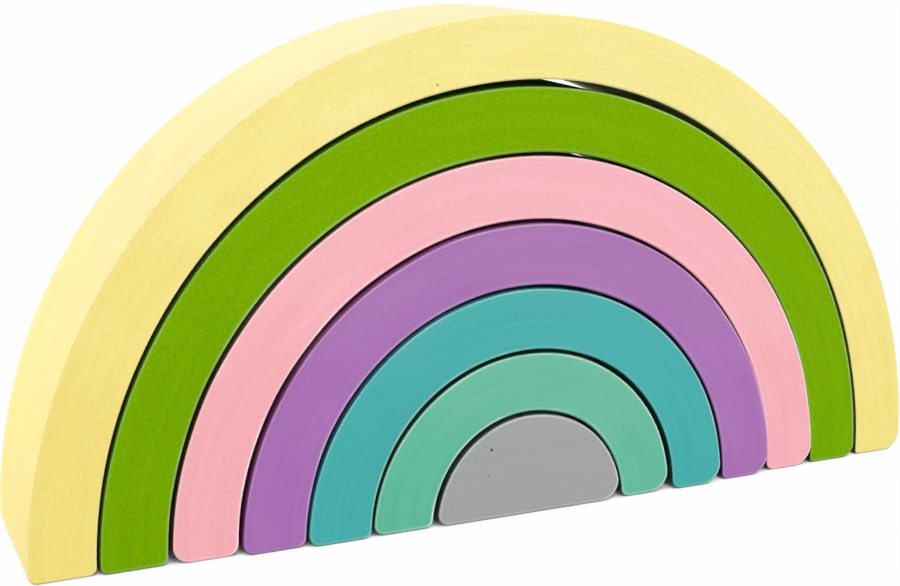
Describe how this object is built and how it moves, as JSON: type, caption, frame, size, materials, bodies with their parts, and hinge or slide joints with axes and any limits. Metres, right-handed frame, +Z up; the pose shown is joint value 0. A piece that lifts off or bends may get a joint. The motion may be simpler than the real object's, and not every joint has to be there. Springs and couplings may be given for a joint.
{
  "type": "nesting arch block set",
  "caption": "Painted wooden half-ring arches that nest around a solid half disc, loose blocks for stacking, bridging and building.",
  "frame": {"origin": "middle of the nest's footprint, on the surface that the feet stand on", "axes": "+X across the arches from the left foot to the right foot as the picture shows them, -Y out of the front faces towards the viewer, +Z up"},
  "size_m": [0.2498, 0.0484, 0.1265],
  "materials": {
    "yellow_paint": "satin pale yellow paint on wood, brushed along the arch",
    "green_paint": "satin leaf green paint on wood, brushed along the arch",
    "pink_paint": "satin pale pink paint on wood, brushed along the arch, worn at the edges",
    "purple_paint": "satin lilac paint on wood, brushed along the arch",
    "teal_paint": "satin turquoise paint on wood, brushed along the arch",
    "mint_paint": "satin mint green paint on wood, brushed along the arch, worn at the edges",
    "grey_paint": "satin mid grey paint on wood"
  },
  "bodies": {
    "yellow_arch": {"yellow_arch": "yellow_paint"},
    "green_arch": {"green_arch": "green_paint"},
    "pink_arch": {"pink_arch": "pink_paint"},
    "purple_arch": {"purple_arch": "purple_paint"},
    "teal_arch": {"teal_arch": "teal_paint"},
    "mint_arch": {"mint_arch": "mint_paint"},
    "grey_half_disc": {"grey_half_disc": "grey_paint"}
  },
  "joints": [
    {"name": "green_slide", "type": "slide", "parent": "yellow_arch", "child": "green_arch", "axis": [0, -1, 0], "range_m": [-0.05, 0.05]},
    {"name": "pink_slide", "type": "slide", "parent": "yellow_arch", "child": "pink_arch", "axis": [0, -1, 0], "range_m": [-0.1, 0.1]},
    {"name": "purple_slide", "type": "slide", "parent": "yellow_arch", "child": "purple_arch", "axis": [0, -1, 0], "range_m": [-0.15, 0.15]},
    {"name": "teal_slide", "type": "slide", "parent": "yellow_arch", "child": "teal_arch", "axis": [0, -1, 0], "range_m": [-0.2, 0.2]},
    {"name": "mint_slide", "type": "slide", "parent": "yellow_arch", "child": "mint_arch", "axis": [0, -1, 0], "range_m": [-0.25, 0.25]},
    {"name": "grey_slide", "type": "slide", "parent": "yellow_arch", "child": "grey_half_disc", "axis": [0, -1, 0], "range_m": [-0.3, 0.3]}
  ]
}
